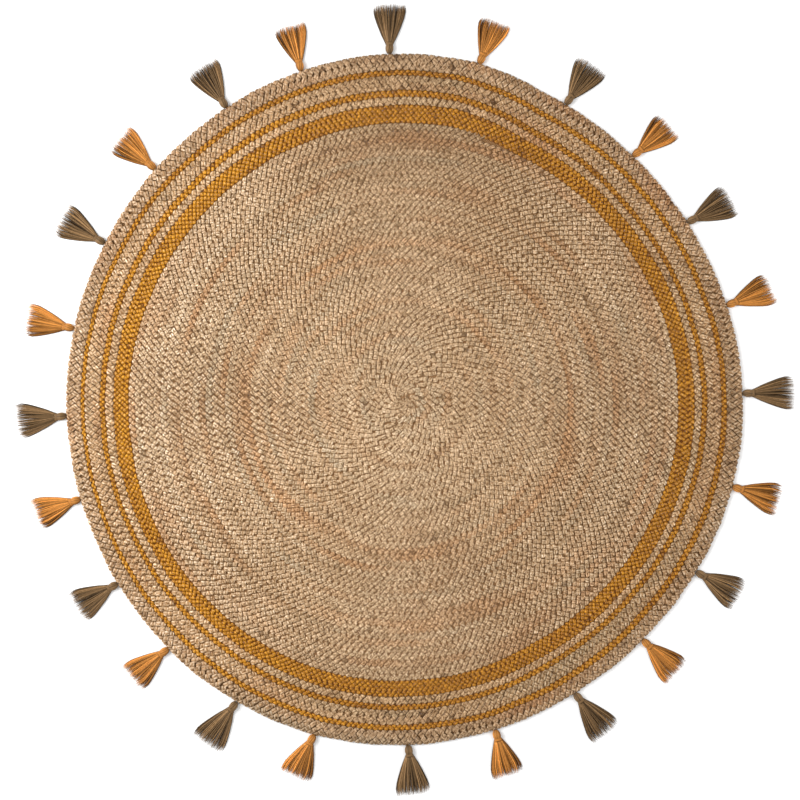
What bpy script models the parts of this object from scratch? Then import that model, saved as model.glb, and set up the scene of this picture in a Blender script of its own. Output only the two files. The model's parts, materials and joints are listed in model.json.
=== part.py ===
"""A round rug of flat jute braid, coiled and sewn edge to edge, with tassels round its rim.

The rug lies on the plane z = 0 with its middle at the origin. Lengths are in metres. An
angle is measured anticlockwise from +X, seen from above, and the braid runs clockwise
outwards from the middle.
"""

import math
from collections import namedtuple

import bmesh
import bpy
from mathutils import Vector
from mathutils.geometry import intersect_line_line_2d

MM = 0.001
GAP = 0.3 * MM               # clearance between two pieces that touch

# The coiled braid
CREST_HEIGHT = 9.0 * MM      # along the middle of a braid turn
SEAM_HEIGHT = 6.4 * MM       # where two turns are sewn together
COIL_TURNS = 42              # turns of natural braid in the centre coil
SIDES = 48                   # straight sides of a full turn
TURN_GRADES = ((6, 12), (14, 24), (COIL_TURNS, SIDES))   # (up to this turn, sides)
SPLICE_START = 80.0          # degrees, where a length of braid ends against the next
SPLICE_STEPS = 2             # sides over which a turn steps back by its growth
PEAK_OF_THREE = -8.0         # degrees, a high point of the three-sided unevenness
PEAK_OF_FOUR = -6.0          # degrees, a high point of the four-sided unevenness

# Each ring ends at an edge that isn't quite round. radius is its mean and growth is how far
# it spirals outwards in one turn. east and north shift it. The last four swell it, in mm:
# oval along X, skew along the diagonal, and three and four times round.
Edge = namedtuple("Edge", "name turns yarn radius growth east north oval skew three four")
EDGES = (
    Edge("centre_coil", COIL_TURNS, "natural", 607, 14.3, 0.0, -6.0, -2.7, 2.6, 2.4, 1.9),
    Edge("wide_ochre_band", 3, "ochre", 642, 15.4, 1.5, -4.5, -3.9, 2.2, 2.6, 2.5),
    Edge("single_natural_turn", 1, "natural", 659, 15.4, 0.3, -4.0, -4.2, 2.5, 2.5, 2.9),
    Edge("inner_ochre_turn", 1, "ochre", 671, 14.3, 0.0, -3.0, -5.0, 1.5, 3.0, 3.4),
    Edge("double_natural_turns", 2, "natural", 704, 14.3, -0.4, -3.3, -4.7, 1.7, 2.6, 3.0),
    Edge("outer_ochre_turn", 1, "ochre", 715, 14.3, 1.0, -3.6, -5.6, 0.8, 3.0, 2.7),
    Edge("natural_rim", 2, "natural", 751, 11.0, 0.6, -1.0, -6.7, 0.7, 4.0, 3.5),
)
COIL_EDGE = EDGES[0]
RIM_EDGE = EDGES[-1]

# The tassels: at is the angle of the knot on the rim, lean turns the tassel from straight
# out, reach is from the rim to the longest lock, and left and right are the fan's two half
# widths at the tips, seen from the rug.
Tassel = namedtuple("Tassel", "yarn at lean reach left right")
TASSELS = (
    Tassel("brown", 1.3, -0.5, 110, 36, 36), Tassel("orange", 16.5, 6.0, 101, 33, 35),
    Tassel("brown", 32.2, -4.8, 106, 37, 36), Tassel("orange", 46.9, -8.3, 101, 37, 31),
    Tassel("brown", 61.4, -7.6, 103, 39, 34), Tassel("orange", 77.4, -9.9, 97, 36, 32),
    Tassel("brown", 92.4, -2.5, 106, 35, 35), Tassel("orange", 107.3, -3.3, 99, 35, 33),
    Tassel("brown", 121.2, 0.2, 103, 36, 37), Tassel("orange", 137.0, 3.1, 101, 34, 35),
    Tassel("brown", 152.2, -1.3, 108, 37, 37), Tassel("orange", 167.6, 1.9, 103, 34, 35),
    Tassel("brown", 182.5, 5.9, 108, 34, 40), Tassel("orange", 196.8, 3.9, 101, 33, 35),
    Tassel("brown", 212.5, -2.3, 103, 37, 35), Tassel("orange", 226.4, -9.6, 101, 38, 30),
    Tassel("brown", 240.9, -8.2, 112, 39, 34), Tassel("orange", 254.9, -12.0, 98, 38, 31),
    Tassel("brown", 270.7, 6.8, 106, 34, 39), Tassel("orange", 285.5, 0.8, 101, 34, 34),
    Tassel("brown", 300.3, 10.1, 110, 33, 40), Tassel("orange", 315.0, 0.8, 101, 34, 35),
    Tassel("brown", 329.7, 1.1, 106, 36, 36), Tassel("orange", 345.4, -3.0, 103, 36, 33),
)
# Cross sections of a tassel's head, from the rim outwards: along is the distance from the
# rim, base the height of its underside, and it is width wide and top high.
Section = namedtuple("Section", "name along base top width")
HEAD = (
    Section("tuck", 0.0, 2.2, 7.2, 5.0),
    Section("shoulder", 5.0, 0.0, 10.5, 14.5),
    Section("crown", 11.5, 0.0, 12.5, 19.0),
    Section("neck", 21.5, 0.0, 9.4, 14.0),
    Section("bell", 30.0, 0.0, 7.6, 19.0),
)
NECK = HEAD[3]
HEAD_SIDES = 8
LOCKS = 12                   # in each tassel
LOCK_SHARE = 0.86            # of its place in the fan that a lock fills
# Cross sections of a lock: reached is its share of the tassel's reach, high its height in
# mm, full the share of its width that it keeps, and sway how far it strays in its place.
LockSection = namedtuple("LockSection", "name reached high full sway")
LOCK = (
    LockSection("root", 0.4, 5.0, 1.0, 0.0),
    LockSection("middle", 0.68, 4.4, 1.0, 0.03),
    LockSection("tip", 1.0, 2.8, 0.8, 0.06),
)
SHORTEST_LOCK = 0.93         # of the longest

YARNS = {                    # colour, roughness
    "natural": ((0.456, 0.292, 0.165), 0.9),
    "ochre": ((0.392, 0.171, 0.03), 0.88),
    "brown": ((0.198, 0.130, 0.076), 0.85),
    "orange": ((0.413, 0.191, 0.069), 0.85),
}


# ------------------------------------------------------------------ the plan of the coil

def turned(fraction):
    """Angle in radians after this share of a clockwise turn from the splice."""
    return math.radians(SPLICE_START - 360.0 * fraction)


def grown(fraction):
    """How far a spiral edge stands out after a share of a turn, from -0.5 to 0.5. It grows
    evenly and steps back within the splice."""
    splice = SPLICE_STEPS / SIDES
    share = fraction % 1.0
    if share < splice:
        return 0.5 - share / splice
    return (share - splice) / (1.0 - splice) - 0.5


def swell(edge, angle):
    """Unevenness of a ring's edge at an angle, in metres."""
    return MM * (
        edge.oval * math.cos(2 * angle)
        + edge.skew * math.sin(2 * angle)
        + edge.three * math.cos(3 * (angle - math.radians(PEAK_OF_THREE)))
        + edge.four * math.cos(4 * (angle - math.radians(PEAK_OF_FOUR)))
    )


def edge_point(edge, fraction, outset=0.0):
    """Plan point of a ring's edge, moved outwards by outset."""
    angle = turned(fraction)
    radius = MM * (edge.radius + edge.growth * grown(fraction)) + swell(edge, angle) + outset
    x = radius * math.cos(angle) + MM * edge.east
    y = radius * math.sin(angle) + MM * edge.north
    return (x, y)


def coil_point(turns):
    """Plan point of the spiral seam in the centre coil. The unevenness of the coil's edge
    dies away towards the middle with the square of the radius."""
    splice = SPLICE_STEPS / SIDES
    pitch = MM * COIL_EDGE.radius / (COIL_TURNS + splice + 0.5)
    radius = pitch * turns
    share = (radius / (MM * COIL_EDGE.radius)) ** 2
    angle = turned(turns)
    radius += share * swell(COIL_EDGE, angle)
    x = radius * math.cos(angle) + share * MM * COIL_EDGE.east
    y = radius * math.sin(angle) + share * MM * COIL_EDGE.north
    return (x, y)


def between(first, second, share):
    """Plan point this share of the way from the first to the second."""
    return tuple(a + (b - a) * share for a, b in zip(first, second))


# ------------------------------------------------------------------ building meshes

def add_ring(mesh, points):
    """Adds a vertex for each point and returns them."""
    return [mesh.verts.new(point) for point in points]


def join_rings(mesh, inner, outer):
    """Faces between two closed rings of as many vertices."""
    count = len(inner)
    for i in range(count):
        j = (i + 1) % count
        mesh.faces.new((inner[i], inner[j], outer[j], outer[i]))


def finish(mesh, name, yarn, collection):
    """Turns a bmesh into a named object with its yarn's material."""
    bmesh.ops.recalc_face_normals(mesh, faces=mesh.faces)
    data = bpy.data.meshes.new(name)
    mesh.to_mesh(data)
    mesh.free()
    data.materials.append(yarn_material(yarn))
    data.shade_smooth()
    data.set_sharp_from_angle(angle=math.radians(30))
    piece = bpy.data.objects.new(name, data)
    collection.objects.link(piece)
    return piece


def yarn_material(yarn):
    """The material of one yarn, made once."""
    if yarn in bpy.data.materials:
        return bpy.data.materials[yarn]
    colour, roughness = YARNS[yarn]
    material = bpy.data.materials.new(yarn)
    material.use_nodes = True
    shader = material.node_tree.nodes["Principled BSDF"]
    shader.inputs["Base Color"].default_value = (*colour, 1.0)
    shader.inputs["Roughness"].default_value = roughness
    shader.inputs["Metallic"].default_value = 0.0
    return material


# ------------------------------------------------------------------ the coiled braid

def coil_steps():
    """The points along the spiral, counted in sides of a full turn: few in a turn near the
    middle and SIDES of them further out."""
    steps = []
    first_turn = 0
    for last_turn, sides in TURN_GRADES:
        steps += range(first_turn * SIDES, last_turn * SIDES, SIDES // sides)
        first_turn = last_turn
    steps += range(COIL_TURNS * SIDES, COIL_TURNS * SIDES + SPLICE_STEPS + 1)
    return steps


def centre_coil(collection):
    """The middle of the rug: one braid wound in a spiral. The seam between its turns and
    the crest of the braid are two spirals joined by strips, and the last turn runs out
    against the coil's edge."""
    mesh = bmesh.new()
    edge = [edge_point(COIL_EDGE, i / SIDES) for i in range(SIDES)]
    rim = add_ring(mesh, [(*point, SEAM_HEIGHT) for point in edge])
    foot = add_ring(mesh, [(*point, 0.0) for point in edge])
    steps = coil_steps()
    end = steps[-1]
    seam = {step: mesh.verts.new((*coil_point(step / SIDES), SEAM_HEIGHT)) for step in steps[:-1]}
    seam[end] = rim[SPLICE_STEPS]

    def outer_seam(first, last):
        """Vertices along the outer side of the braid, which may be the closer spaced."""
        if last + SIDES > end:
            return [rim[first % SIDES], rim[last % SIDES]]
        return [seam[step] for step in range(first + SIDES, last + SIDES + 1) if step in seam]

    crest = {}
    pitch = MM * COIL_EDGE.growth
    for step in steps[:-1]:
        inside = seam[step].co.xy
        outside = outer_seam(step, step)[-1].co.xy
        rise = (CREST_HEIGHT - SEAM_HEIGHT) * min(1.0, (outside - inside).length / pitch)
        middle = inside.lerp(outside, 0.5)
        crest[step] = mesh.verts.new((*middle, SEAM_HEIGHT + rise))
    for first, last in zip(steps, steps[1:-1]):
        mesh.faces.new((seam[first], seam[last], crest[last], crest[first]))
        mesh.faces.new((crest[first], crest[last], *reversed(outer_seam(first, last))))
    before_end = steps[-2]
    mesh.faces.new((seam[before_end], seam[end], crest[before_end]))
    mesh.faces.new((crest[before_end], seam[end], rim[before_end % SIDES]))
    for first, last in zip(steps[1:], steps[2:steps.index(SIDES) + 1]):
        mesh.faces.new((seam[0], seam[last], seam[first]))
    mesh.faces.new((seam[0], crest[0], seam[SIDES]))
    join_rings(mesh, rim, foot)
    mesh.faces.new(foot)
    return finish(mesh, COIL_EDGE.name, COIL_EDGE.yarn, collection)


def braid_ring(inner, outer, collection):
    """A ring of whole turns between two edges, flat beneath, with a crest on each turn and
    a seam between them."""
    mesh = bmesh.new()
    rows = [(0.0, 0.0), (0.0, SEAM_HEIGHT)]
    for turn in range(outer.turns):
        rows.append(((turn + 0.5) / outer.turns, CREST_HEIGHT))
        rows.append(((turn + 1) / outer.turns, SEAM_HEIGHT))
    rows.append((1.0, 0.0))
    rings = []
    for share, height in rows:
        plan = [
            between(edge_point(inner, i / SIDES, GAP), edge_point(outer, i / SIDES), share)
            for i in range(SIDES)
        ]
        rings.append(add_ring(mesh, [(*point, height) for point in plan]))
    for first, second in zip(rings, rings[1:] + rings[:1]):
        join_rings(mesh, first, second)
    return finish(mesh, outer.name, outer.yarn, collection)


# ------------------------------------------------------------------ the tassels

def rim_distance(angle):
    """Distance from the middle of the rug to the straight side of the rim at an angle."""
    middle = Vector((0.0, 0.0))
    far = Vector((math.cos(angle), math.sin(angle)))
    corners = [edge_point(RIM_EDGE, i / SIDES) for i in range(SIDES)]
    for first, second in zip(corners, corners[1:] + corners[:1]):
        meeting = intersect_line_line_2d(middle, far, first, second)
        if meeting:
            return meeting.length
    raise ValueError("no side of the rim lies that way")


def fan_edge(tassel, along, side):
    """How far the fan reaches sideways at a distance along the tassel, in mm. side is +1 on
    the left and -1 on the right."""
    tips = tassel.left if side > 0 else tassel.right
    share = (along - NECK.along) / (tassel.reach - NECK.along)
    return side * (NECK.width / 2 + (tips - NECK.width / 2) * share)


def placed(tassel, start, along, across, height):
    """World point of a place on a tassel given in mm."""
    out = math.radians(tassel.at)
    way = out + math.radians(tassel.lean)
    x = start * math.cos(out) + MM * (along * math.cos(way) - across * math.sin(way))
    y = start * math.sin(out) + MM * (along * math.sin(way) + across * math.cos(way))
    return (x, y, MM * height)


def head_ring(tassel, start, section):
    """Points of one cross section of the head, an eight-sided ring with a flat foot. They
    run over the top from the right side of the foot to its left side."""
    middle = (section.base + section.top) / 2
    half_high = (section.top - section.base) / 2
    flat = math.cos(math.pi / HEAD_SIDES)
    points = []
    for i in range(HEAD_SIDES):
        turn = 2 * math.pi * (i + 0.5) / HEAD_SIDES
        across = -section.width / 2 * math.sin(turn) / flat
        height = middle - half_high * math.cos(turn) / flat
        points.append(placed(tassel, start, section.along, across, height))
    return points


def lock_ring(tassel, start, place, section):
    """Three points of a lock's cross section: the right side of its foot, its ridge and the
    left side of its foot. place counts the locks from the right of the fan."""
    wave = math.sin(2.4 * place + math.radians(tassel.at))
    shortening = (1.0 - SHORTEST_LOCK) * (0.5 + 0.5 * wave)
    along = section.reached * tassel.reach * (1.0 - shortening * (section.name == "tip"))
    left = fan_edge(tassel, along, 1)
    right = fan_edge(tassel, along, -1)
    room = (left - right) / LOCKS
    across = right + room * (place + 0.5 + section.sway * wave)
    half = room * LOCK_SHARE * section.full / 2
    return [
        placed(tassel, start, along, across - half, 0.0),
        placed(tassel, start, along, across, section.high),
        placed(tassel, start, along, across + half, 0.0),
    ]


def join_paths(mesh, few, many):
    """Triangles between two open rows of vertices. The second row has more, and each end of
    the first row meets only one of its sides, so that no side lies flat on the floor."""
    last = len(many) - 2
    held = 0
    for i in range(len(many) - 1):
        mesh.faces.new((few[held], many[i], many[i + 1]))
        wanted = len(few) - 1 if i == last else 1 + round(i * (len(few) - 3) / last)
        if wanted > held:
            mesh.faces.new((few[held], many[i + 1], few[wanted]))
            held = wanted


def make_tassel(tassel, name, collection):
    """A tassel lying on the floor: a knotted head that fans out and parts into locks."""
    spread = math.asin(MM * HEAD[0].width / 2 / rim_distance(math.radians(tassel.at)))
    nearby = [math.radians(tassel.at) + spread * side for side in (-1, 0, 1)]
    lean_room = MM * HEAD[0].width / 2 * math.tan(math.radians(abs(tassel.lean)))
    start = max(rim_distance(angle) for angle in nearby) + GAP + lean_room
    mesh = bmesh.new()
    rings = [add_ring(mesh, head_ring(tassel, start, section)) for section in HEAD]
    mesh.faces.new(rings[0])
    for first, second in zip(rings, rings[1:]):
        join_rings(mesh, first, second)
    bell = rings[-1]
    roots = []
    for place in range(LOCKS):
        lock = [add_ring(mesh, lock_ring(tassel, start, place, section)) for section in LOCK]
        for first, second in zip(lock, lock[1:]):
            join_rings(mesh, first, second)
        mesh.faces.new(lock[-1])
        roots.append(lock[0])
    join_paths(mesh, bell, [vertex for root in roots for vertex in root])
    feet = [vertex for root in roots for vertex in (root[0], root[2])]
    mesh.faces.new([bell[-1], bell[0], *feet])
    return finish(mesh, name, tassel.yarn, collection)


def main():
    """Clears the scene and builds the rug."""
    for old in list(bpy.data.objects):
        bpy.data.objects.remove(old, do_unlink=True)
    rug = bpy.data.collections.new("round_jute_rug")
    bpy.context.scene.collection.children.link(rug)
    centre_coil(rug)
    for inner, outer in zip(EDGES, EDGES[1:]):
        braid_ring(inner, outer, rug)
    for number, tassel in enumerate(TASSELS, start=1):
        make_tassel(tassel, f"tassel_{number:02d}_{tassel.yarn}", rug)


main()
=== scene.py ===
"""The looks of a round jute rug, laid out as an add-on and run as a script.

The rug is flat three-strand braid, coiled and sewn edge to edge, with a yarn tassel at each
of twenty-four places on its rim. Lengths are in metres unless a table says millimetres, +Z
is up, and the rug lies on z = 0. Angles run anticlockwise from +X, seen from above, and the
braid runs clockwise outwards from the middle.
"""

import json
import math
from collections import namedtuple

import bpy
import numpy as np
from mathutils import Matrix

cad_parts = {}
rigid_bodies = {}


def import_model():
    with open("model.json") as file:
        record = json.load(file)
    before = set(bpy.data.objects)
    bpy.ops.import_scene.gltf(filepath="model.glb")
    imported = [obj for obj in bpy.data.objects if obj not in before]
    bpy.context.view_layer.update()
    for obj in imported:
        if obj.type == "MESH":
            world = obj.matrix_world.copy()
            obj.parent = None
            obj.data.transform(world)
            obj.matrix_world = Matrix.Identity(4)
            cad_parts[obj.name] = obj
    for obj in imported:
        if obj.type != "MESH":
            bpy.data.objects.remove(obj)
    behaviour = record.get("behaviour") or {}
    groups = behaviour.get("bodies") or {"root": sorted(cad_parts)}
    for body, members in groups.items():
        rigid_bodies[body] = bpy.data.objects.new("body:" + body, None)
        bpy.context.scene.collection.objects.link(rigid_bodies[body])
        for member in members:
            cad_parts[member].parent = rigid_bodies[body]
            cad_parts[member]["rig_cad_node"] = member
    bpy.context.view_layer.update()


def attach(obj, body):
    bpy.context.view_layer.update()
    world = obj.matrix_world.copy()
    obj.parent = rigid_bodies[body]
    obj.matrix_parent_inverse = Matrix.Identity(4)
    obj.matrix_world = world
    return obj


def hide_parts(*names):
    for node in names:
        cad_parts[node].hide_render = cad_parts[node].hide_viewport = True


bl_info = {
    "name": "Round Jute Rug",
    "version": (1, 0, 0),
    "blender": (4, 5, 0),
    "location": "View3D > Sidebar > Rug",
    "description": "Builds the braid, the tassels and the studio of a round jute rug",
    "category": "Object",
}

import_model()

MM = 0.001

# ---------------------------------------------------------------- sizes shared with the solids

COIL_TURNS = 42              # turns of natural braid in the centre coil
SPLICE_START = 80.0          # degrees, where a length of braid ends against the next
SPLICE = 2 / 48              # share of a turn over which the rings step back
PEAK_OF_THREE = -8.0         # degrees, a high point of the three-sided unevenness
PEAK_OF_FOUR = -6.0          # degrees, a high point of the four-sided unevenness

# Each ring ends at an edge that isn't quite round, in mm. radius is its mean and growth is
# how far it spirals outwards in one turn. east and north shift it. The last four swell it:
# oval along X, skew along the diagonal, and three and four times round.
Edge = namedtuple("Edge", "name turns yarn radius growth east north oval skew three four")
EDGES = (
    Edge("centre_coil", COIL_TURNS, "natural", 607, 14.3, 0.0, -6.0, -2.7, 2.6, 2.4, 1.9),
    Edge("wide_ochre_band", 3, "ochre", 642, 15.4, 1.5, -4.5, -3.9, 2.2, 2.6, 2.5),
    Edge("single_natural_turn", 1, "natural", 659, 15.4, 0.3, -4.0, -4.2, 2.5, 2.5, 2.9),
    Edge("inner_ochre_turn", 1, "ochre", 671, 14.3, 0.0, -3.0, -5.0, 1.5, 3.0, 3.4),
    Edge("double_natural_turns", 2, "natural", 704, 14.3, -0.4, -3.3, -4.7, 1.7, 2.6, 3.0),
    Edge("outer_ochre_turn", 1, "ochre", 715, 14.3, 1.0, -3.6, -5.6, 0.8, 3.0, 2.7),
    Edge("natural_rim", 2, "natural", 751, 11.0, 0.6, -1.0, -6.7, 0.7, 4.0, 3.5),
)
COIL_EDGE = EDGES[0]
RIM_EDGE = EDGES[-1]

# The tassels, in degrees and mm: at is the angle of the knot on the rim, lean turns the
# tassel from straight out, reach is from the rim to the longest lock, and left and right are
# the fan's two half widths at the tips, seen from the rug.
Tassel = namedtuple("Tassel", "yarn at lean reach left right")
TASSELS = tuple(
    Tassel("orange" if number % 2 else "brown", *row)
    for number, row in enumerate((
        (1.3, -0.5, 110, 36, 36), (16.5, 6.0, 101, 33, 35), (32.2, -4.8, 106, 37, 36),
        (46.9, -8.3, 101, 37, 31), (61.4, -7.6, 103, 39, 34), (77.4, -9.9, 97, 36, 32),
        (92.4, -2.5, 106, 35, 35), (107.3, -3.3, 99, 35, 33), (121.2, 0.2, 103, 36, 37),
        (137.0, 3.1, 101, 34, 35), (152.2, -1.3, 108, 37, 37), (167.6, 1.9, 103, 34, 35),
        (182.5, 5.9, 108, 34, 40), (196.8, 3.9, 101, 33, 35), (212.5, -2.3, 103, 37, 35),
        (226.4, -9.6, 101, 38, 30), (240.9, -8.2, 112, 39, 34), (254.9, -12.0, 98, 38, 31),
        (270.7, 6.8, 106, 34, 39), (285.5, 0.8, 101, 34, 34), (300.3, 10.1, 110, 33, 40),
        (315.0, 0.8, 101, 34, 35), (329.7, 1.1, 106, 36, 36), (345.4, -3.0, 103, 36, 33),
    ))
)
# Cross sections of a tassel's head from the rim outwards, in mm: along is the distance from
# the rim, base the height of its underside, and it is width wide and top high.
Section = namedtuple("Section", "along base top width")
HEAD = {
    "tuck": Section(-1.5, 2.2, 7.2, 9.0),
    "shoulder": Section(5.0, 0.0, 10.5, 15.5),
    "crown": Section(11.5, 0.0, 12.5, 16.8),
    "neck": Section(20.5, 0.0, 9.4, 14.4),
    "bell": Section(30.0, 0.0, 7.6, 20.0),
}
NECK = HEAD["neck"]

# ---------------------------------------------------------------- the strands of the braid

# A strand shows as a lobe on one side of the braid and then on the other. A cell is the place
# that a lobe fills, in chevrons clockwise and shares across the braid: its middle, its length
# along the strand and its side.
Cell = namedtuple("Cell", "middle strand side")
FIELD_CELLS = (              # outer lobe, inner lobe
    Cell((0.50, 0.75), (0.54, 0.54), (0.485, -0.485)),
    Cell((0.00, 0.25), (0.48, -0.48), (0.52, 0.52)),
)
RING_CELLS = (
    Cell((0.50, 0.72), (0.52, 0.59), (0.52, -0.50)),
    Cell((0.00, 0.23), (0.49, -0.47), (0.53, 0.47)),
)
DYED_CELLS = (
    Cell((0.50, 0.74), (0.52, 0.54), (0.50, -0.50)),
    Cell((0.00, 0.24), (0.50, -0.50), (0.50, 0.48)),
)
RIM_CELLS = (                # of the last turn, whose outer lobes round the rug's edge
    Cell((0.57, 0.84), (0.63, 0.75), (0.52, -0.52)),
    Cell((0.00, 0.25), (0.50, -0.50), (0.52, 0.50)),
)
# A lobe is swept through stations. along is in lengths of its cell from the middle, half is
# its half width in sides of its cell, and top is its height in mm above the floor. The first
# and last stations are its two points, and STATION_CREST says how much painted light shows at
# the three between them. The pale crest is a painted highlight, and where less of it shows the
# lobe keeps more of the painted shade of its sides.
Station = namedtuple("Station", "along half top")
LOBE = (
    Station(-0.51, 0.00, 5.4),
    Station(-0.43, 0.52, 8.0),
    Station(0.04, 0.53, 9.0),
    Station(0.43, 0.52, 8.6),
    Station(0.51, 0.00, 5.4),
)
STATION_CREST = np.array([0.85, 1.0, 0.92])
POINT_RISE = 0.5             # mm, the most that its two points stand above its foot
RIM_FOOT = 2.0               # mm, height at which the lobes that round the rug's edge start
RIM_LIMIT = 1.3              # share across the last turn at which its lobes end, round the edge
RIM_BEND = 7.0               # mm, radius with which the last turn rounds the edge
RIM_ANGLE = 1.9              # radians that it goes round
DROOP_STARTS = 1.2           # radians round the edge from which it droops
DROOP = 1.2                  # mm that it droops with each radian more


def mirrored(*half):
    """A symmetrical row of numbers, from its side to its middle and back."""
    return np.array([*half, *half[-2::-1]])


# Across a lobe, from its trailing to its leading side. foot is the height in mm at which it
# starts, places are shares of its half width, fullness is its share of its height there, and
# crest how much painted light it gets: from the painted shade of its sides to the pale painted
# highlight of its crest. A groove runs down the middle of two of them, with painted shade in it.
Profile = namedtuple("Profile", "foot places fullness crest")
GROOVED = np.array([-1.0, -0.88, -0.45, 0.0, 0.45, 0.88, 1.0])
SMOOTH_PLACES = np.array([-1.0, -0.84, 0.0, 0.84, 1.0])
ROUND = Profile(4.8, GROOVED, mirrored(0.0, 0.84, 1.0, 0.82), mirrored(0.0, 0.85, 1.0, 0.55))
SMOOTH = Profile(4.8, SMOOTH_PLACES, mirrored(0.0, 0.86, 1.0), mirrored(0.0, 0.85, 1.0))
PLIED = Profile(6.3, GROOVED, mirrored(0.0, 0.84, 1.0, 0.70), mirrored(0.0, 0.88, 1.0, 0.35))
HIGHLIGHT_STARTS = 0.86         # the crest above which a lobe gets the pale painted highlight
CREST_LIGHT_SPREAD = (0.87, 1.0)  # from lobe to lobe, how much of its painted crest light shows
INNER_LESS_LIGHT = 0.02            # how much less of it shows on the inner lobes

# Powers of a shade for red, green and blue: lighter jute is drawn paler, a painted sheen, and
# darker jute deeper, a painted shade.
SHEEN_AND_SHADE_POWERS = np.array([0.85, 1.0, 1.25])
# How unevenly the braid is made, as spreads from one lobe to the next.
SCATTER_FLOW = 0.026         # chevrons
SCATTER_SHARE = 0.020        # of the braid's width
SCATTER_TURN = 0.05          # radians, nearly
SCATTER_SIZE = 0.040         # of its length and width
SCATTER_TOP = 0.25           # mm, of its height
SUNK_LOBES = 0.012           # share of lobes that are sunk and dark
SUNK_BY = 1.2                # mm
SUNK_SHADE = 0.5
NESTLING = 0.9               # how strongly the bumps of one turn hold those of the next, up to 1
PULL = 0.35                  # chevrons by which uneven pulling shifts them
STRAY_WAVES = (0.05, 0.3)    # metres, the shortest and longest waves in which the turns wander
WAVE_SPREAD = 1.6            # spreads of a sum of waves that count as 1
BORDER = 0.06                # how far a dyed ring's lobes reach over its neighbours, of its width

# Where feet and fair use have pressed the braid flat, its gaps are full. The jute is also drawn
# darker in that band, towards the coil's edge.
PRESSED_BAND = 0.30          # metres from the middle, to the left and right, at which it fades
PRESSED_RISE = 1.7           # mm by which the gaps fill
PRESSED_GAP = 6.5            # mm, height up to which they do
PRESSED_CREST = 0.68         # how much painted crest light the gaps get, over their painted shade
PRESSED_LESS_LIGHT = 0.09          # how much less painted crest light the crests get
PRESSED_SHADE = 0.26         # how much darker the jute is, near the coil's edge
FAR_SHADE = 0.55             # share by which that is more on the far side and less on the near one
RING_SHADE = 0.5             # share of it that the rings have

# The jute's colour.
LEFT_PAINTED_LIGHT = 0.20                # painted light: how much lighter it is drawn with each metre to the left
MIDDLE_SHADE = 0.14          # how much darker it is at the very middle
MIDDLE_REACH = 0.024         # metres from the middle at which that fades
STRAND_DRIFT = 0.04          # how much its shade drifts along one strand
BRAID_DRIFT = 0.09           # and along the whole braid
PATCHES = 0.04               # and over the plan
LOBE_SCATTER = 0.06          # and from lobe to lobe
PINK_SCATTER = 0.004         # how much its hue does
DYED_HUES = 0.15             # share of the rust and grey that the dyed braid shows
RUST = np.array([0.07, 0.17, 0.26])      # what rust takes from red, green and blue
GREY = np.array([-0.07, -0.02, 0.03])    # what grey adds to them
PINK = np.array([1.0, 0.0, -0.6])
RUST_STARTS = 0.35           # the hue from which the jute is rusty
GREY_STARTS = 0.3            # and the hue below zero from which it is grey
# Turns of the coil that are rustier: distance from the middle and spread in metres, strength.
RUSTY_TURNS = ((0.353, 0.030, 1.0), (0.490, 0.022, 0.55), (0.578, 0.022, 0.8))
RING_TINTS = {               # factors on red, green and blue
    "single_natural_turn": np.array([0.97, 0.905, 0.81]),
    "double_natural_turns": np.array([0.90, 0.84, 0.76]),
    "outer_ochre_turn": np.array([1.03, 1.03, 1.0]),
    "natural_rim": np.array([0.83, 0.783, 0.745]),
}

START_HEADING = 35.0         # degrees, the direction of the braid's straight start in the middle
START_CHEVRONS = 3           # its chevrons
START_SIZE = 0.6             # and their length, in the coil's chevrons
COIL_ENDS = 0.4              # share of the splice at which the coil's last turn ends
COIL_PIECES = (              # name, first turn, last turn
    ("centre_coil_inner_turns", 0, 24),
    ("centre_coil_middle_turns", 24, 34),
    ("centre_coil_outer_turns", 34, COIL_TURNS),
)


def named_colour(name, description, default):
    """A colour that a user may change."""
    return bpy.props.FloatVectorProperty(
        name=name, description=description, default=default,
        size=3, min=0.0, max=1.0, subtype="COLOR",
    )


def named_length(name, description, default):
    """A length that a user may change."""
    return bpy.props.FloatProperty(
        name=name, description=description, default=default, min=0.0, unit="LENGTH", precision=4
    )


class RugBraidSettings(bpy.types.PropertyGroup):
    """Sizes and colours of the braid."""

    coil_chevron: named_length("Coil chevron", "One chevron along the centre coil", 13.9 * MM)
    natural_chevron: named_length("Natural chevron", "One chevron along the undyed rings", 14.7 * MM)
    ochre_chevron: named_length("Ochre chevron", "One chevron along the dyed rings", 11.7 * MM)
    stray: named_length("Stray", "How far the turns stray from a true spiral", 0.9 * MM)
    bed_height: named_length("Bed height", "Height of the hidden strands under the lobes", 5.2 * MM)
    natural_colour: named_colour("Natural jute", "Colour of the undyed jute", (0.470, 0.330, 0.198))
    # natural_shade and ochre_shade are painted shade, the colour drawn in the gaps between lobes
    natural_shade: named_colour("Natural shade", "Its colour between the lobes", (0.305, 0.142, 0.036))
    ochre_colour: named_colour("Ochre jute", "Colour of the dyed jute", (0.403, 0.168, 0.0055))
    ochre_shade: named_colour("Ochre shade", "Its colour between the lobes", (0.23, 0.07, 0.001))


class RugTasselSettings(bpy.types.PropertyGroup):
    """Sizes and colours of the tassels."""

    yarn_width: named_length("Yarn width", "Width of one yarn of a tassel", 1.35 * MM)
    brown_colour: named_colour("Brown yarn", "Colour of the brown tassels", (0.21, 0.123, 0.055))
    # brown_shade and orange_shade are painted shade, the colour drawn between the yarns
    brown_shade: named_colour("Brown shade", "Their colour between the yarns", (0.05, 0.024, 0.008))
    orange_colour: named_colour("Orange yarn", "Colour of the orange tassels", (0.53, 0.215, 0.045))
    orange_shade: named_colour("Orange shade", "Their colour between the yarns", (0.15, 0.04, 0.004))


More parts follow.
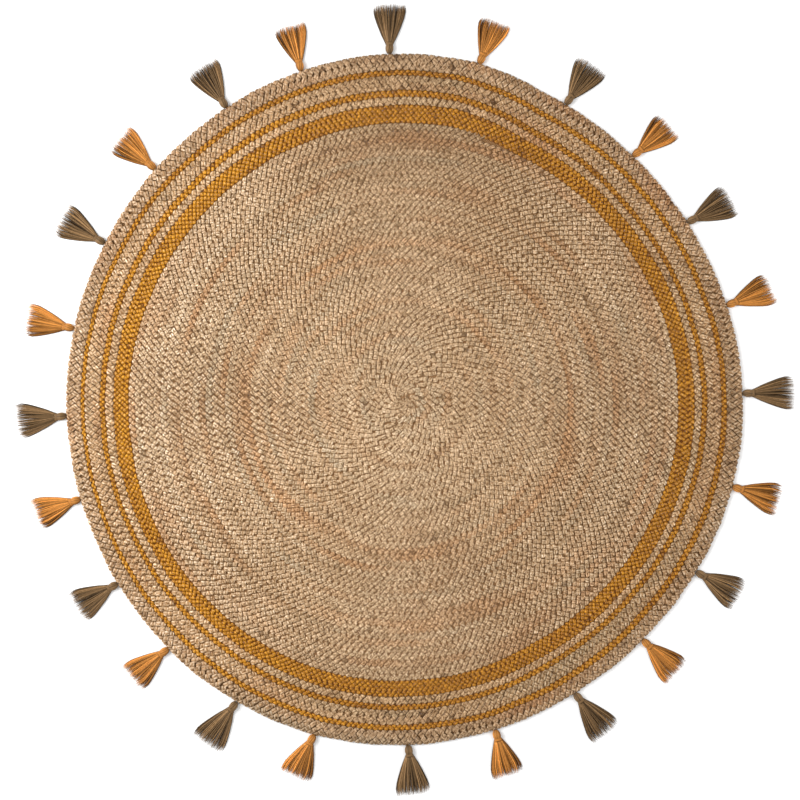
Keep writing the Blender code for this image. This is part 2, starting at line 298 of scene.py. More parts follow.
class RugStageSettings(bpy.types.PropertyGroup):
    """The floor, the light and the camera."""

    frame_width: named_length("Frame width", "Width of floor that the camera sees", 1.7635)
    lens: bpy.props.FloatProperty(
        name="Lens", description="Focal length", default=85.0, min=1.0, unit="CAMERA"
    )
    floor_colour: named_colour("Floor", "Colour of the floor", (0.93, 0.93, 0.93))


# ---------------------------------------------------------------- the plan of the braid

def turned(fraction):
    """Angle in radians after these clockwise turns from the splice."""
    return np.radians(SPLICE_START - 360.0 * fraction)


def grown(fraction):
    """How far a spiral edge stands out after a share of a turn, from -0.5 to 0.5: it grows
    evenly and steps back within the splice."""
    share = np.mod(fraction, 1.0)
    growing = (share - SPLICE) / (1.0 - SPLICE) - 0.5
    return np.where(share < SPLICE, 0.5 - share / SPLICE, growing)


def swell(edge, angle):
    """Unevenness of a ring's edge at an angle, in mm: four cosines of the angle."""
    return (
        edge.oval * np.cos(2 * angle)
        + edge.skew * np.sin(2 * angle)
        + edge.three * np.cos(3 * (angle - math.radians(PEAK_OF_THREE)))
        + edge.four * np.cos(4 * (angle - math.radians(PEAK_OF_FOUR)))
    )


def edge_plan(edge, fraction):
    """Plan points of a ring's edge: mean radius, plus growth and swell, about its own middle."""
    angle = turned(fraction)
    radius = edge.radius + edge.growth * grown(fraction) + swell(edge, angle)
    x = radius * np.cos(angle) + edge.east
    y = radius * np.sin(angle) + edge.north
    return MM * np.stack([x, y], -1)


def coil_pitch():
    """Distance in mm from one turn of the centre coil to the next."""
    return COIL_EDGE.radius / (COIL_TURNS + SPLICE + 0.5)


def coil_plan(turns):
    """Plan points of the spiral seam in the centre coil: the radius is the pitch times the
    turns, and the edge's unevenness dies away inwards with the square of the radius."""
    radius = coil_pitch() * turns
    share = (radius / COIL_EDGE.radius) ** 2
    angle = turned(turns)
    radius = radius + share * swell(COIL_EDGE, angle)
    x = radius * np.cos(angle) + share * COIL_EDGE.east
    y = radius * np.sin(angle) + share * COIL_EDGE.north
    return MM * np.stack([x, y], -1)


def coil_place(turns, share):
    """Plan points a share of the way across the coil's braid, between its two seams."""
    inner = coil_plan(turns)
    return inner + (coil_plan(turns + 1.0) - inner) * share[..., None]


def ring_place(inner, outer, turn):
    """The same for one turn of a ring, as a function of the fraction of a turn and the
    share across the braid."""
    def place(fraction, share):
        start = edge_plan(inner, fraction)
        across = (turn + share) / outer.turns
        return start + (edge_plan(outer, fraction) - start) * across[..., None]
    return place


def waves(points, seed, shortest, longest, count=14):
    """A smooth field over plan points, about -1 to 1: a sum of plane waves with random
    directions and phases."""
    draw = np.random.default_rng(seed)
    heading = draw.uniform(0, 2 * math.pi, count)
    number = 2 * math.pi / np.exp(draw.uniform(math.log(shortest), math.log(longest), count))
    phase = draw.uniform(0, 2 * math.pi, count)
    total = np.zeros(points.shape[:-1])
    for way, k, start in zip(heading, number, phase):
        along = points[..., 0] * math.cos(way) + points[..., 1] * math.sin(way)
        total += np.sin(k * along + start)
    return total * math.sqrt(2.0 / count) / WAVE_SPREAD


def strayed(points, amount):
    """Plan points moved by a smooth field, so that the turns wander as sewn ones do."""
    moved = points.copy()
    for axis in (0, 1):
        moved[..., axis] += amount * waves(points, 11 + axis, *STRAY_WAVES)
    return moved


# ---------------------------------------------------------------- meshes

def new_piece(name, points, faces, material, tint, strand=None):
    """A mesh object from whole arrays. points is (n, 3), faces a list of (m, sides) index
    arrays, tint four numbers and strand a UV for each vertex or each corner. Tint is a
    colour factor and, last, how much painted light shows: from the painted shade between
    strands to the pale painted crest."""
    mesh = bpy.data.meshes.new(name)
    corners = np.concatenate([face.ravel() for face in faces]).astype(np.int32)
    sides = np.concatenate([np.full(len(face), face.shape[1]) for face in faces])
    starts = np.concatenate([[0], np.cumsum(sides)[:-1]]).astype(np.int32)
    mesh.vertices.add(len(points))
    mesh.vertices.foreach_set("co", np.ascontiguousarray(points, np.float32).ravel())
    mesh.loops.add(len(corners))
    mesh.loops.foreach_set("vertex_index", corners)
    mesh.polygons.add(len(sides))
    mesh.polygons.foreach_set("loop_start", starts)
    mesh.update(calc_edges=True)
    mesh.shade_smooth()
    domain = "POINT" if len(tint) == len(points) else "CORNER"
    paint = mesh.color_attributes.new("tint", "FLOAT_COLOR", domain)
    paint.data.foreach_set("color", np.ascontiguousarray(tint, np.float32).ravel())
    if strand is not None:
        layer = mesh.uv_layers.new(name="strand")
        corner_strand = strand[corners] if len(strand) == len(points) else strand
        layer.uv.foreach_set("vector", np.ascontiguousarray(corner_strand, np.float32).ravel())
    mesh.materials.append(material)
    piece = bpy.data.objects.new(name, mesh)
    bpy.context.scene.collection.objects.link(piece)
    return piece


def grid_faces(rows, columns, start=0):
    """Quads between consecutive rows of a grid whose columns close on themselves."""
    row, column = np.meshgrid(np.arange(rows - 1), np.arange(columns), indexing="ij")
    after = (column + 1) % columns
    here, above = row * columns, (row + 1) * columns
    corners = [here + column, here + after, above + after, above + column]
    return start + np.stack(corners, -1).reshape(-1, 4)


def repeated(faces, count, step):
    """The faces of one shape repeated for each copy, step vertices further on each time."""
    return (faces[None] + step * np.arange(count)[:, None, None]).reshape(-1, faces.shape[1])


# ---------------------------------------------------------------- the braid

# A stretch of braid. place gives plan points, at is where each chevron lies and chevron its
# size, both in turns, or in metres on the straight start. width is the braid's, index numbers
# the chevrons and length is how far along the braid each lies.
Run = namedtuple("Run", "place at chevron width index length")


def nestled(count):
    """How many chevrons more one turn has than the turn inside it, up to each place. The
    bumps of sewn turns nestle into each other, so the count stays near a whole number and
    then catches up: it is the even count less a sine of it."""
    return count - NESTLING / (2 * math.pi) * np.sin(2 * math.pi * count)


def placed_chevrons(count, turns, plan):
    """Turns at which the chevron count reaches each whole number, shifted by a smooth field
    over the plan, from uneven pulling while braiding."""
    shifted = count + PULL * waves(plan, 21, 0.3, 1.2)
    index = np.arange(math.ceil(shifted[0]), math.ceil(shifted[-1]))
    return index, np.interp(index, shifted, turns)


def start_place(along, share):
    """Plan points of the braid's straight start, which fills the middle of the coil: a strip
    along a line through the middle."""
    way = math.radians(START_HEADING)
    across = (share - 0.5) * coil_pitch() * MM
    return np.stack([
        along * math.cos(way) - across * math.sin(way),
        along * math.sin(way) + across * math.cos(way),
    ], -1)


def coil_runs(chevron, first, last):
    """The coil's braid between two turns. The count over the first turn follows the length
    of the spiral, and each further turn adds to the turn inside it."""
    pitch = coil_pitch() * MM
    steps = 480
    share = np.arange(steps) / steps
    per_turn = 2 * math.pi * pitch / chevron
    count = per_turn / 2 * ((share + 0.5) ** 2 - 0.25)
    count = count + share * (nestled(per_turn) - per_turn)
    rows = [count]
    for turn in range(COIL_TURNS + 1):
        rows.append(rows[-1] + nestled(per_turn * (turn + share + 1.0)))
    turns = np.arange(steps * (COIL_TURNS + 1) + steps // 8) / steps
    count = np.concatenate(rows)[: len(turns)]
    index, every = placed_chevrons(count, turns, coil_plan(turns + 0.5))
    ends = COIL_TURNS + SPLICE * COIL_ENDS
    kept = (every >= first) & (every < (ends if last == COIL_TURNS else last))
    at = every[kept]
    size = chevron / (2 * math.pi * pitch * (at + 0.5))
    runs = [Run(coil_place, at, size, pitch, index[kept], index[kept] * chevron)]
    if first == 0:
        index = np.arange(START_CHEVRONS)
        at = chevron * START_SIZE * (index - START_CHEVRONS / 2)
        size = np.full(START_CHEVRONS, chevron * START_SIZE)
        runs.append(Run(start_place, at, size, pitch, index, index * chevron))
    return runs


def ring_runs(number, chevron):
    """The braid of a ring, turn by turn, each a whole number of chevrons that closes."""
    inner, outer = EDGES[number - 1], EDGES[number]
    width = MM * (outer.radius - inner.radius) / outer.turns
    fraction = np.linspace(0.0, 1.0, 1441)
    plan = edge_plan(outer, fraction)
    runs, before, even = [], 0, 0.0 * fraction
    for turn in range(outer.turns):
        around = 2 * math.pi * (MM * inner.radius + width * (turn + 0.5))
        total = round(around / chevron)
        even = even + (nestled((total - before) * fraction) if before else total * fraction)
        before = total
        index, at = placed_chevrons(even, fraction, plan)
        length = around * at + 10.0 * (number * 10 + turn)    # so that no two turns look alike
        size = np.full(len(at), 1.0 / total)
        runs.append(Run(ring_place(inner, outer, turn), at, size, width, index, length))
    return runs


def lobe_faces(profile):
    """Faces of one lobe: quads between its cross sections and a fan at each point. The
    vertices are its sections in order, then its two points."""
    across = len(profile.places)
    rows = len(LOBE) - 2
    quads = grid_faces(rows, across)
    ring = np.arange(across)
    after = (ring + 1) % across
    points = rows * across + np.zeros_like(ring)
    end = (rows - 1) * across
    head = np.stack([points, after, ring], -1)
    tail = np.stack([points + 1, ring + end, after + end], -1)
    return quads, np.concatenate([head, tail])


def bent(share, height, width):
    """The last turn rounds the edge: past its spine, distance across becomes an angle about
    the spine, and height above the foot becomes distance from it. Low down it droops, but not
    below the floor."""
    radius = MM * RIM_BEND
    spine = 1.0 - radius / width
    angle = np.clip((share - spine) * width / radius, 0.0, RIM_ANGLE)
    above = height - MM * RIM_FOOT
    turned_share = np.minimum(share, spine) + above * np.sin(angle) / width
    droop = DROOP * MM * np.clip(angle - DROOP_STARTS, 0, None)
    return turned_share, np.maximum(MM * RIM_FOOT + above * np.cos(angle) - droop, 0.0)


def pressed_flat(plan):
    """How far the braid is pressed flat, from 0 to 1: most along a broad band from the far
    side to the near side, as a bell of the distance to the left and right."""
    return np.exp(-(plan[..., 0] / PRESSED_BAND) ** 2)


def lobes(run, cell, profile, sunk, bend, limits, draw):
    """Vertices, strand coordinates and crest of a lobe for each chevron of a run. A point
    lies at the cell's middle plus its place along the strand and its place across it, and
    is as high as the section is full there. Every lobe is shifted, turned and sized a
    little at random, and the sunk ones are low. Nothing reaches past the limits, which are
    shares across the braid."""
    along, half, top = np.array(LOBE, float).T
    foot = RIM_FOOT if bend else profile.foot
    count = len(run.at)

    def draws(spread):
        return draw.normal(0.0, spread, (count, 1))

    turn = draws(SCATTER_TURN)
    middle_flow = cell.middle[0] + draws(SCATTER_FLOW)
    middle_share = cell.middle[1] + draws(SCATTER_SHARE)
    pressed = pressed_flat(run.place(run.at, np.full(count, 0.5)))[:, None]
    size = 1.0 + draws(SCATTER_SIZE)
    rise = draws(SCATTER_TOP) - SUNK_BY * sunk[:, None]
    wide = 1.0 + draws(SCATTER_SIZE)
    u = size * np.concatenate([np.repeat(along[1:-1], len(profile.places)), along[[0, -1]]])
    v = wide * np.concatenate([np.outer(half[1:-1], profile.places).ravel(), [0.0, 0.0]])
    u, v = u - turn * v, v + turn * u
    full = np.tile(profile.fullness > 0, len(LOBE) - 2)
    height = foot + ((top[1:-1, None] - foot) * profile.fullness).ravel() + rise * full
    height = np.concatenate([height, np.full((count, 2), min(foot + POINT_RISE, top[0]))], 1)
    height = MM * (height + pressed * PRESSED_RISE * (height < PRESSED_GAP) * (not bend))
    flow = middle_flow + u * cell.strand[0] + v * cell.side[0]
    share = middle_share + u * cell.strand[1] + v * cell.side[1]
    share = np.clip(share, *limits)
    if bend:
        share, height = bent(share, height, run.width)
    plan = run.place(run.at[:, None] + run.chevron[:, None] * flow, share)
    points = np.concatenate([plan, height[..., None]], -1)
    strand = np.stack([u, v], -1) + draw.uniform(0, 40, (count, 1, 2))
    # crest: how much painted light each point gets, from the painted shade of the lobe's sides to the
    # pale painted highlight of its crest
    crest = np.concatenate([np.outer(STATION_CREST, profile.crest).ravel(), [0.0, 0.0]])
    shown = draw.uniform(*CREST_LIGHT_SPREAD, (count, 1)) - INNER_LESS_LIGHT * (cell.strand[1] < 0)
    crest = crest * shown * (1.0 - PRESSED_LESS_LIGHT * pressed)
    return points, strand, np.maximum(crest, PRESSED_CREST * pressed)


def streaks(length, strand_number, seed, shortest, longest):
    """A smooth random field along each of three strands, about -1 to 1: a sum of waves over
    the length of the braid, with phases of the strand's own."""
    draw = np.random.default_rng(seed)
    total = np.zeros(len(length))
    count = 16
    for period in np.geomspace(shortest, longest, count):
        phase = draw.uniform(0, 2 * math.pi, 3)[strand_number]
        total += np.sin(2 * math.pi * length / period * draw.uniform(0.9, 1.1) + phase)
    return total * math.sqrt(2.0 / count) / WAVE_SPREAD


def toned(plan):
    """Two smooth fields over the plan: a shade, darker where the braid is pressed, towards the
    coil's edge and in the very middle, and lighter to the left as painted light; and a
    rustiness that is a bell across each rusty turn."""
    radius = np.hypot(plan[..., 0], plan[..., 1])
    reach = MM * COIL_EDGE.radius
    pressed = pressed_flat(plan) * np.clip(radius / reach, 0.0, 1.0) ** 2
    further = 1.0 + FAR_SHADE * np.clip(plan[..., 1] / reach, -1.0, 1.0)
    pressed = pressed * np.where(radius < 1.01 * reach, further, RING_SHADE)
    shade = (1.0 - PRESSED_SHADE * pressed) * (1.0 - LEFT_PAINTED_LIGHT * plan[..., 0])
    shade = shade * (1.0 - MIDDLE_SHADE * np.exp(-(radius / MIDDLE_REACH) ** 2))
    rust = 0.0 * radius
    for at, spread, strength in RUSTY_TURNS:
        rust = rust + strength * np.exp(-(((radius - at) / spread) ** 2))
    return shade, rust


def lobe_tints(run, plan, sunk, side, yarn, draw):
    """A colour factor for each lobe. Three strands take turns, and each drifts in shade and
    hue along its length: now and then rusty, now and then grey. The whole braid drifts too,
    and patches over the plan and a scatter from lobe to lobe come on top."""
    strand = (2 * run.index + side) % 3
    braid = 0 * strand
    drift = streaks(run.length, strand, 31, 0.05, 0.7)
    whole = streaks(run.length, braid, 32, 0.2, 6.0)
    broad, rusty = toned(plan)
    hue = rusty + 0.2 * streaks(run.length, strand, 33, 0.06, 0.5)
    hue = hue + streaks(run.length, braid, 34, 0.2, 6.0)
    patch = waves(plan, 51, 0.25, 1.2)
    scatter = draw.normal(0.0, 1.0, len(run.at))
    shade = 1.0 + STRAND_DRIFT * drift + BRAID_DRIFT * whole + PATCHES * patch
    shade = (shade + LOBE_SCATTER * scatter) * broad
    # lighter jute is drawn paler, a painted sheen, and darker jute deeper, a painted shade
    shade = np.where(sunk > 0, shade * SUNK_SHADE, shade).clip(0.25, 1.6)[:, None] ** SHEEN_AND_SHADE_POWERS
    shown = DYED_HUES if yarn == "ochre" else 1.0
    rust = shown * np.clip(hue - RUST_STARTS, 0.0, 1.5)[:, None]
    grey = shown * np.clip(-hue - GREY_STARTS, 0.0, 1.5)[:, None]
    pink = draw.normal(0.0, PINK_SCATTER, (len(run.at), 1))
    return shade * (1.0 - rust * RUST) * (1.0 + grey * GREY) * (1.0 + pink * PINK)


def braid_piece(name, runs, yarn, cells, material, stray, seed, shade=1.0):
    """All the lobes of some runs as one mesh, outer and inner side by turns."""
    draw = np.random.default_rng(seed)
    points, strands, tints, faces, start = [], [], [], [], 0
    for number, run in enumerate(runs):
        last = number == len(runs) - 1
        rounds_edge = last and cells is RIM_CELLS
        reach = BORDER if yarn == "ochre" else 0.0
        inner_limit = -reach if number == 0 and cells is not FIELD_CELLS else -1.0
        outer_limit = RIM_LIMIT if rounds_edge else 1.0 + reach if last else 2.0
        shapes = RING_CELLS if cells is RIM_CELLS and not last else cells
        profile = ROUND if shapes is FIELD_CELLS else SMOOTH if shapes is DYED_CELLS else PLIED
        shape_faces = lobe_faces(profile)
        for side, cell in enumerate(shapes):
            sunk = (draw.uniform(0, 1, len(run.at)) < SUNK_LOBES).astype(float)
            bend = rounds_edge and side == 0
            limits = (inner_limit, outer_limit)
            found, strand, crest = lobes(run, cell, profile, sunk, bend, limits, draw)
            count, each = found.shape[:2]
            found[..., :2] = strayed(found[..., :2], stray)
            tint = shade * lobe_tints(run, found[:, 0, :2], sunk, side, yarn, draw)
            for face in shape_faces:
                faces.append(start + repeated(face if side == 0 else face[:, ::-1], count, each))
            points.append(found.reshape(-1, 3))
            strands.append(strand.reshape(-1, 2))
            tint = np.repeat(tint[:, None], each, 1)
            tints.append(np.concatenate([tint, crest[..., None]], -1).reshape(-1, 4))
            start += count * each
    columns = [np.concatenate(column) for column in (points, tints, strands)]
    return new_piece(name, columns[0], faces, material, columns[1], columns[2])


BED_STEPS = 96               # points round each row of the bed
BED_RISE = 1.2               # mm by which the bed stands higher where the braid is pressed
RING_RISE = 0.6              # and under the rings
FIBRE_GRAIN = 5.0 * MM       # size of the fibres' pattern on the bed
COIL_ROWS = np.linspace(0.08, 0.98, 14)    # the rows under the coil, as shares of its radius
BED_RIM = ((-7.0, 3.4), (-5.0, 3.0), (-3.4, 1.6), (-4.2, 0.0))   # from the edge, height, in mm
# Tints of the bed: a colour factor and, last, how much of the pale crest shows. Its top takes
# painted shade, as the gaps between the lobes do, and the ochre factors also give the dye's colour.
BED_TOP_DYE_AND_SHADE = {"natural": (0.75, 0.70, 0.65, 0.4), "ochre": (0.60, 0.33, 0.06, 0.4)}
UNDERNEATH = {"natural": (0.94, 0.94, 0.94, 1.0), "ochre": (0.86, 0.60, 0.20, 1.0)}


def bed_top(height):
    """Rows of the bed's top, each with its points round the rug: scaled copies of the coil's
    edge, the edges of the rings, and the profile that rounds the rim."""
    fraction = np.arange(BED_STEPS) / BED_STEPS
    coil = edge_plan(COIL_EDGE, fraction)
    rows = [(coil * share, height) for share in COIL_ROWS]
    rows += [(edge_plan(edge, fraction), height + MM * RING_RISE) for edge in EDGES[:-1]]
    rim = edge_plan(RIM_EDGE, fraction)
    outward = rim / np.linalg.norm(rim, axis=1, keepdims=True)
    rows += [(rim + MM * out * outward, MM * level) for out, level in BED_RIM]
    top = np.stack([np.column_stack([plan, np.full(BED_STEPS, level)]) for plan, level in rows])
    top[: len(COIL_ROWS), :, 2] += MM * BED_RISE * pressed_flat(top[: len(COIL_ROWS)])
    return top


def bed_piece(material, height, stray, chevrons):
    """The hidden strands under the lobes and the rug's underside, as one closed disc. The
    underside is a strip along the coil's spiral, then a strip for each turn of the rings.
    Its strand coordinates count chevrons along the braid and turns across it."""
    steps = BED_STEPS
    top = bed_top(height)
    points, faces, strands, tints = [top.reshape(-1, 3)], [], [], []

    def add(shape, strand, tint):
        faces.append(shape)
        strands.append(np.broadcast_to(strand, (*shape.shape, 2)).reshape(-1, 2))
        tints.append(np.broadcast_to(tint, (*shape.shape, 4)).reshape(-1, 4))

    def add_strip(inner, outer, along, tint):
        """The underside between two rows of vertices."""
        shape = np.stack([inner[:-1], inner[1:], outer[1:], outer[:-1]], -1)
        along = np.stack([along[:-1], along[1:], along[1:], along[:-1]], -1)
        across = np.broadcast_to([0.0, 0.0, 1.0, 1.0], along.shape)
        add(shape[:, ::-1], np.stack([along, across], -1)[:, ::-1], tint)

    for row in range(len(top) - 1):
        ring_number = row - len(COIL_ROWS) + 1
        yarn = EDGES[ring_number].yarn if 0 < ring_number < len(EDGES) else "natural"
        shape = grid_faces(2, steps, row * steps)
        add(shape, points[0][shape][..., :2] / FIBRE_GRAIN, BED_TOP_DYE_AND_SHADE[yarn])
    ring = np.arange(steps)
    crown = len(top) * steps
    points.append(np.array([[0.0, 0.0, height + MM * BED_RISE]]))
    middle = np.stack([np.full(steps, crown), (ring + 1) % steps, ring], -1)
    add(middle, np.zeros(2), BED_TOP_DYE_AND_SHADE["natural"])
    # the coil underneath: a fan inside its first turn, and a strip outside it
    first = crown + 1
    turns = np.arange((COIL_TURNS + 1) * steps + 1) / steps
    points.append(np.column_stack([coil_plan(turns), np.zeros(len(turns))]))
    along = math.pi * coil_pitch() * MM * (turns + 0.5) ** 2 / chevrons["natural"]
    walk = np.arange(COIL_TURNS * steps + 1)
    add_strip(first + walk, first + walk + steps, along[walk], UNDERNEATH["natural"])
    fan = first + np.arange(1, steps)
    fan = np.stack([fan, fan + 1, np.full(len(fan), first)], -1)
    add(fan, np.zeros(2), UNDERNEATH["natural"])
    # the rings underneath, turn by turn, of which the last ends at the top's last row
    fraction = np.arange(steps) / steps
    inner_row = first + COIL_TURNS * steps + np.arange(steps + 1)
    start = first + len(turns)
    for inner, outer in zip(EDGES, EDGES[1:]):
        count = round(2 * math.pi * MM * outer.radius / chevrons[outer.yarn])
        for turn in range(outer.turns):
            if outer is RIM_EDGE and turn == outer.turns - 1:
                outer_row = crown - steps + np.append(ring, 0)
            else:
                outer_row = start + np.append(ring, 0)
                plan = ring_place(inner, outer, turn)(fraction, np.ones(steps))
                points.append(np.column_stack([plan, np.zeros(steps)]))
                start += steps
            along = count * np.arange(steps + 1) / steps
            add_strip(inner_row, outer_row, along, UNDERNEATH[outer.yarn])
            if inner_row[0] != inner_row[-1]:
                step = np.array([[outer_row[0], inner_row[0], inner_row[-1]]])
                add(step, np.zeros(2), UNDERNEATH[outer.yarn])
            inner_row = outer_row
    points = np.concatenate(points)
    points[:, :2] = strayed(points[:, :2], stray)
    tints, strands = np.concatenate(tints), np.concatenate(strands)
    return new_piece("braid_bed", points, faces, material, tints, strands)


# ---------------------------------------------------------------- the tassels

def smoothed(at, places, values):
    """A smooth curve through the places: cubics whose slopes follow from their neighbours."""
    slope = np.gradient(values, places)
    step = np.clip(np.searchsorted(places, at, side="right") - 1, 0, len(places) - 2)
    gap = places[step + 1] - places[step]
    t = np.clip((at - places[step]) / gap, 0.0, 1.0)
    t2, t3 = t * t, t * t * t
    return (
        (2 * t3 - 3 * t2 + 1) * values[step]
        + (t3 - 2 * t2 + t) * gap * slope[step]
        + (3 * t2 - 2 * t3) * values[step + 1]
        + (t3 - t2) * gap * slope[step + 1]
    )


def placed(tassel, along, across, height):
    """World points of places on a tassel given in mm. along starts at the rim, whose distance
    from the middle is interpolated at the tassel's angle, and across runs to the left."""
    rim = edge_plan(RIM_EDGE, np.linspace(0.0, 1.0, 721))
    bearing = np.arctan2(rim[:, 1], rim[:, 0])
    order = np.argsort(bearing)
    out = math.radians(tassel.at)
    angle = (out + math.pi) % (2 * math.pi) - math.pi
    distances = np.linalg.norm(rim, axis=1)[order]
    distance = float(np.interp(angle, bearing[order], distances, period=2 * math.pi))
    start = distance * np.array([math.cos(out), math.sin(out)])
    heading = out + math.radians(tassel.lean)
    way = np.array([math.cos(heading), math.sin(heading)])
    left = np.array([-math.sin(heading), math.cos(heading)])
    plan = start + MM * (along[..., None] * way + across[..., None] * left)
    return np.concatenate([plan, MM * height[..., None]], -1)


def head_shape(tassel):
    """The knot: rings of points from the rim outwards. Each ring is an ellipse between the
    section's base and top, ridged by the yarns that run over it, and no lower than the floor."""
    rings, around, yarns = 13, 48, 10
    places, bases, tops, widths = np.array(list(HEAD.values())).T
    along = np.linspace(places[0], HEAD_ENDS, rings)[:, None]
    half, base, top = (smoothed(along, places, row) for row in (widths / 2, bases, tops))
    turn = 2 * math.pi * np.arange(around)[None, :] / around
    ridges = np.cos(yarns * turn + 0.25 * along)
    ridge = 1.0 + 0.05 * ridges
    across = -half * ridge * np.sin(turn)
    height = (base + top) / 2 - (top - base) / 2 * ridge * np.cos(turn)
    points = placed(tassel, along + 0 * turn, across, np.maximum(height, 0.0))
    last = (rings - 1) * around
    ring = np.arange(around)
    faces = [grid_faces(rings, around), ring[::-1][None], (last + ring)[None]]
    strand = np.stack(np.broadcast_arrays(along / 4.0, 2.2 * turn), -1)
    # Painted shade: darker at the tuck under the rim and at the neck, and as across the fan; lighter
    # on each yarn's ridge and darker in the grooves between, with a tint that varies round the knot.
    shade = np.interp(along, *HEAD_PAINTED_SHADES)
    shade = shade * np.interp(-np.sin(turn), FAN_PLACES, FAN_PAINTED_SHADES[tassel.yarn])
    shade = shade * (1.0 + 0.36 * ridges + 0.14 * np.cos(3 * turn + 1.0))
    tint = shade.reshape(-1, 1) * np.ones(4)
    tint[:, 3] = 1.0
    return points.reshape(-1, 3), faces, strand.reshape(-1, 2), tint


def tubes(tassel, along, across, height, radius):
    """Closed tubes round the yarns' paths, given as (yarn, point) arrays in tassel mm. Each
    has a flattened ring at each point and a face at each end."""
    count, length = along.shape
    turn = 2 * math.pi * (np.arange(YARN_SIDES) + 0.25)[None, None, :] / YARN_SIDES
    ring_across = across[..., None] + radius[..., None] * np.cos(turn)
    ring_height = height[..., None] + radius[..., None] * YARN_FLAT * np.sin(turn)
    ring_along = along[..., None] + 0 * turn
    points = placed(tassel, ring_along, ring_across, np.maximum(ring_height, 0.0))
    quads = grid_faces(length, YARN_SIDES)
    side = np.arange(YARN_SIDES)
    caps = np.stack([side[::-1], (length - 1) * YARN_SIDES + side])
    each = length * YARN_SIDES
    return points.reshape(-1, 3), [repeated(quads, count, each), repeated(caps, count, each)]


# The side of a fan: shares of the reach, and how far it has opened there.
FAN_AT = (0.16, 0.19, 0.25, 0.30, 0.35, 0.40, 0.50, 0.60, 0.70, 0.80, 0.87, 0.95, 1.05)
FAN_OPEN = (0.0, 0.04, 0.14, 0.245, 0.335, 0.415, 0.575, 0.72, 0.86, 0.98, 1.03, 1.03, 1.0)
# Where the top yarns of a fan part and the ones below show, for each yarn colour. at is the
# place across the fan, from -1 on the right to 1 on the left, wide the gap in mm at its
# widest, and starts the share of the reach where it opens.
Parting = namedtuple("Parting", "at wide starts")
PARTINGS = {
    "brown": (
        Parting(0.62, 1.6, 0.55), Parting(0.30, 3.0, 0.55), Parting(0.10, 3.4, 0.45),
        Parting(-0.12, 5.6, 0.38), Parting(-0.38, 2.6, 0.50), Parting(-0.66, 3.4, 0.66),
    ),
    "orange": (
        Parting(0.80, 4.0, 0.40), Parting(0.56, 3.0, 0.45), Parting(0.34, 6.2, 0.36),
        Parting(0.06, 2.6, 0.55), Parting(-0.20, 2.0, 0.50), Parting(-0.52, 1.6, 0.60),
    ),
}
# Painted shade across a fan and its knot, from the fan's right side to its left one, and how
# much shorter its yarns get towards its right and its left corner.
FAN_PLACES = (-1.0, -0.85, -0.6, -0.3, 0.0, 0.3, 0.6, 0.8, 1.0)
FAN_PAINTED_SHADES = {
    "brown": (0.82, 1.0, 1.05, 0.88, 0.78, 0.95, 1.06, 1.0, 0.86),
    "orange": (1.14, 1.12, 1.04, 1.0, 0.96, 0.82, 0.86, 0.52, 0.38),
}
CORNER_CUTS = {"brown": (0.02, 0.06), "orange": (-0.04, 0.03)}
PARTED_AT = 0.8              # share of the reach at which a parting is widest
PARTING_REACH = 0.11         # how far across the fan it pushes yarns aside, in half fans
LOCKS = 14                   # groups into which the yarns of a fan draw together at the tips
LOCK_REACH = 0.055           # half fans from the middle of a lock to its side
LOCKS_START = 0.35           # share of the reach from which they draw together
LONGEST = 1.035              # of the reach
UNEVEN = 0.035               # how unevenly long the yarns are, and how unevenly far their locks
SWAY = 0.6                   # mm to the side
FAN_START = 17.0             # mm from the rim, inside the neck, where the yarns start
TIP_HEIGHT = 0.7             # mm, of the middle of a yarn that lies on the floor
FAN_STEPS = 9                # points along each yarn
YARN_SIDES = 3
YARN_FLAT = 0.8              # its height in widths
YARN_TAPER = (0.6, 1.0, 1.0, 1.0, 1.0, 1.0, 0.95, 0.72, 0.22)
# The two layers of a fan. shorter is how much less they reach, gathered how strongly locks
# draw together, thick a factor on the yarns' width, and at_neck and at_tips on their height.
Layer = namedtuple("Layer", "yarns shorter gathered thick at_neck at_tips")
LOWER = Layer(34, 0.045, 0.0, 1.6, 0.55, 0.0)
UPPER = Layer(76, 0.0, 0.28, 1.0, 1.0, 1.0)
LOWER_SHADE = 0.6            # painted shade of the lower layer, which lies under the top yarns
UNDERNEATH_SHADE = 1.5       # of its undersides, on top of that, which keep less of the painted shade
BINDING_SHADE = 0.92
HEAD_ENDS = 25.0             # mm from the rim, inside the fan
HEAD_PAINTED_SHADES = ((0.0, 5.0, 12.0, 21.0), (0.5, 0.78, 0.86, 0.66))    # painted shade along the knot, darker at its tuck under the rim and at the neck: mm from the rim, shades


